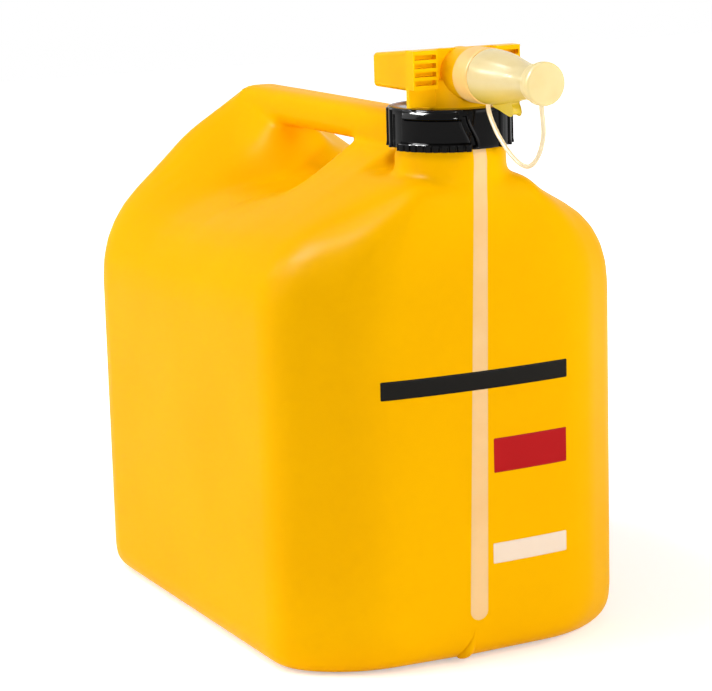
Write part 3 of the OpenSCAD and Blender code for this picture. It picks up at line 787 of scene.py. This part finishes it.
tab = shape("collar_tab", wrapped(lambda height: (tab_right(height), tab_left(height)),
                                  np.linspace(tab_foot, tab_tall, 61), 170, tab_outside,
                                  collar_bore + 1))
tab.data.materials.append(collar_black)
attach(tab, "lock_tab")
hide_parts("lock_tab")


# The spout's elbow is one yellow moulding: flange, riser, barrel, finger plate and the
# sleeve of the push button. The collar clamps its flange on the neck.
def dressed(node, name, edge):
    """A copy of a CAD node with its sharp edges rounded, as a mould leaves them."""
    copy = bmesh.new()
    copy.from_mesh(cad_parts[node].data)
    bmesh.ops.remove_doubles(copy, verts=copy.verts, dist=0.002 * MM)
    bmesh.ops.dissolve_limit(copy, angle_limit=math.radians(1), verts=copy.verts, edges=copy.edges)
    mesh = bpy.data.meshes.new(name)
    copy.to_mesh(mesh)
    copy.free()
    piece = linked(name, mesh)
    mesh.polygons.foreach_set("use_smooth", [True] * len(mesh.polygons))
    rounding = piece.modifiers.new("round_edges", "BEVEL")
    rounding.width = edge
    rounding.segments = 3
    rounding.limit_method = "ANGLE"
    rounding.angle_limit = math.radians(40)
    shading = piece.modifiers.new("even_shading", "WEIGHTED_NORMAL")
    shading.keep_sharp = True
    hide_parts(node)
    return piece


spout_yellow = plastic("spout_yellow", paint(249, 189, 0), paint(246, 183, 0), cloud=24, grain=1100,
                       gloss=0.28, dull=0.36, relief=0.012, shine=0.04)
spout = dressed("spout_body", "spout_elbow", 0.5 * MM)
spout.data.materials.append(spout_yellow)
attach(spout, "spout")

# Inside the elbow sit the stem's bush, the valve and the air tube of white plastic, the
# rubber seals, and the steel washer and stem.
valve_white = plastic("valve_white", paint(236, 236, 230), paint(228, 228, 222), cloud=60,
                      gloss=0.35, dull=0.45)
spring_steel = plastic("spring_steel", paint(200, 200, 205), paint(186, 186, 192), cloud=120,
                       grain=2500, gloss=0.22, dull=0.34, relief=0.003)
spring_steel.node_tree.nodes["Principled BSDF"].inputs["Metallic"].default_value = 1
for node in ("stem_guide", "valve_seat", "valve_head", "vent_tube"):
    finished(node, valve_white)
for node in ("stem_seal", "valve_seal", "nozzle_seal"):
    finished(node, seal_black)
for node in ("spring_seat", "valve_stem"):
    finished(node, spring_steel)

# The return spring is a coil of steel wire between the washer and the button. On the real can
# it shortens as the button goes in; here it is built at one length.
spring = linked("spring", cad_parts["return_spring"].data.copy())
round_wire = spring.modifiers.new("round_wire", "SUBSURF")
round_wire.levels = 1
smoothed(settled(spring))
spring.data.materials.clear()
spring.data.materials.append(spring_steel)
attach(spring, "spout")
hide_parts("return_spring")
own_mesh(spring)

# The push button slides in the sleeve at the rear of the elbow: a yellow moulding with a domed
# crown, which the spring pushes back.
button = dressed("push_button", "button", 0.4 * MM)
button.data.materials.append(spout_yellow)
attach(button, "button")


# The nozzle is a bell and a pouring tube of natural polyethylene, pushed into the barrel,
# with a hook below it that holds the edge of a filler neck.
def flowing(points, between=4):
    """Points on a smooth curve through the given ones."""
    ends = [points[0] * 2 - points[1], *points, points[-1] * 2 - points[-2]]
    line = []
    for a, b, c, d in zip(ends, ends[1:], ends[2:], ends[3:]):
        for k in range(between):
            t = k / between
            line.append(0.5 * (2 * b + (c - a) * t + (2 * a - 5 * b + 4 * c - d) * t * t
                               + (3 * b - a - 3 * c + d) * t ** 3))
    return line + [points[-1]]


def slab(outline, layers):
    """A flat closed body from its outline in the spout's plane. Layers are its places across, each
    with an inset."""
    count = len(outline)
    points, faces = [], []
    for across, inset in layers:
        for index, point in enumerate(outline):
            along = (outline[(index + 1) % count] - outline[index - 1]).normalized()
            inner = point + Vector((-along.y, along.x)) * inset
            points.append(spout_start + Vector((across, -inner.x, -inner.y)) * MM)
    for layer in range(len(layers) - 1):
        for index in range(count):
            a, b = layer * count + index, layer * count + (index + 1) % count
            faces.append((a, b, b + count, a + count))
    faces.append(tuple(reversed(range(count))))
    faces.append(tuple(range(len(points) - count, len(points))))
    return points, faces


cap_low, cap_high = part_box("nozzle_cap")
spout_height = (cap_low.z + cap_high.z) / 2
spout_start = Vector((neck_axis.x, neck_axis.y, spout_height))
spout_way = Vector((0, -1, 0))
bell_wall = 2
bell_curve = [(53.4, 16.75), (58, 16.7), (64, 16.35), (70, 15.65), (76, 14.65), (82, 13.4),
              (88, 12.1), (93, 11.2), (97, 10.75), (101, 10.6)]
bell_line = [tuple(point) for point in flowing([Vector(point) for point in bell_curve], 8)]
bell_inside = [(reach, radius - bell_wall) for reach, radius in reversed(bell_line)]
nozzle_loop = [(26, 13.95), (29.1, 13.95), (29.1, 12.7), (30.9, 12.7), (30.9, 13.95), (35, 13.95),
               (35, 14.35), (51.98, 14.35), (51.98, 15.9), (52.3, 16.45), *bell_line, (113, 10.6),
               (113.7, 10.35), (114, 9.9), (114, 9.1), (113.6, 8.7), (113, 8.6), *bell_inside,
               (39, 11.3), (26, 11.3)]
hook_points = [(57, 14.2), (61, 16.8), (66, 17.8), (71, 19), (76.5, 20.4), (80, 21), (82.3, 20.6),
               (83.2, 19.2), (82.6, 17), (81.2, 15), (80.8, 13.4), (81.2, 12), (74, 12.2), (62, 14)]
hook_line = flowing([Vector(point) for point in hook_points + hook_points[:1]], 5)[:-1]
hook_layers = [(-3, 0.9), (-2.75, 0.35), (-2.2, 0), (2.2, 0), (2.75, 0.35), (3, 0.9)]

# The bell is milky above. Its underside has painted yellow light: its colour turns yellow by height,
# standing for the yellow light that the tank and elbow below throw onto it and through it
painted_bounce_yellow = paint(216, 188, 50)
painted_bounce_top = spout_height - 1 * MM
painted_bounce_full = spout_height - 15 * MM
nozzle_milky = plastic("nozzle_milky", paint(226, 207, 152), paint(221, 199, 140), cloud=40,
                       gloss=0.2, dull=0.26, relief=0.004, shine=0.25)
milky_nodes = nozzle_milky.node_tree.nodes
milky_place = milky_nodes.new("ShaderNodeTexCoord")
milky_parts = milky_nodes.new("ShaderNodeSeparateXYZ")
painted_bounce_mask = milky_nodes.new("ShaderNodeMapRange")
painted_bounce_mask.inputs["From Min"].default_value = painted_bounce_top
painted_bounce_mask.inputs["From Max"].default_value = painted_bounce_full
milky_with_painted_bounce = milky_nodes.new("ShaderNodeMix")
milky_with_painted_bounce.data_type = "RGBA"
milky_with_painted_bounce.inputs["B"].default_value = (*painted_bounce_yellow, 1)
milky_surface = next(node for node in milky_nodes if node.type == "GROUP")
# The mix lays this painted yellow light over the bell's lower part, below the spout's axis
connect(nozzle_milky,
        (milky_place.outputs["Object"], milky_parts.inputs[0]),
        (milky_parts.outputs["Z"], painted_bounce_mask.inputs["Value"]),
        (painted_bounce_mask.outputs["Result"], milky_with_painted_bounce.inputs["Factor"]),
        (milky_surface.outputs["Colour"], milky_with_painted_bounce.inputs["A"]),
        (milky_with_painted_bounce.outputs["Result"], milky_nodes["Principled BSDF"].inputs["Base Color"]))
nozzle = shape("nozzle_bell", revolved(spout_start, spout_way, nozzle_loop, 240),
               slab(hook_line, hook_layers))
nozzle.data.materials.append(nozzle_milky)
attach(nozzle, "spout")
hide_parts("nozzle")

# The tether ring is a band of flexible cream plastic round the barrel, trapped between it and
# the bell.
tether_cream = plastic("tether_cream", paint(243, 199, 122), paint(240, 192, 111), cloud=50,
                       gloss=0.34, dull=0.42, relief=0.01, glow=0.25, glow_reach=(1, 0.75, 0.4))
ring = dressed("tether_ring", "ring", 0.5 * MM)
ring.data.materials.append(tether_cream)
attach(ring, "spout")

# The cap is a shallow cup of cream plastic with a thick rim, pushed over the end of the
# pouring tube.
cap_cream = plastic("cap_cream", paint(235, 215, 156), paint(231, 208, 146), cloud=50, gloss=0.3,
                    dull=0.4, relief=0.01, glow=0.3, glow_reach=(1, 0.8, 0.4))
cap_loop = [(106.5, 10.95), (106.5, 11.25), (106.8, 11.5), (112, 11.5), (112.1, 12.3), (112.4, 12.75),
            (112.9, 12.95), (116.3, 12.95), (117.1, 12.75), (117.7, 12.2), (118, 11.3), (118.2, 0.02),
            (114.4, 0.02), (114.4, 10.9), (106.8, 10.9)]
cap = shape("cap", revolved(spout_start, spout_way, cap_loop))
cap.data.materials.append(cap_cream)
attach(cap, "cap")
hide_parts("nozzle_cap")

# The tether is a round strand of pale flexible plastic, moulded between the ring and the cap.
# It hangs in a loop below the nozzle.
tether_radius = 1.4 * MM
route = [(49, -17.25), (49, -19.2), (50.3, -22.5), (53, -26.5), (58.8, -33), (63.5, -37),
         (68.3, -40.6), (74, -44.3), (80.2, -47.4), (87, -49.8), (94.3, -50.6), (100, -49),
         (104.8, -45.8), (108.4, -42), (111.4, -37), (113.6, -30.5), (113.7, -25), (113, -20),
         (112, -14.8), (112, -13.1)]
tether_points = [Vector((0, neck_axis.y - reach * MM, spout_height + rise * MM)) for reach, rise in route]
tether_line = flowing(tether_points)
tether_length = sum((b - a).length for a, b in zip(tether_line, tether_line[1:]))
tether_pale = plastic("tether_pale", paint(240, 222, 184), paint(236, 216, 174), cloud=50, gloss=0.34,
                      dull=0.42, relief=0.01)
tether = shape("tether", strand(tether_line, [tether_radius] * len(tether_line), sideways))
tether.data.materials.append(tether_pale)
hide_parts("tether_strap")
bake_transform(tether)
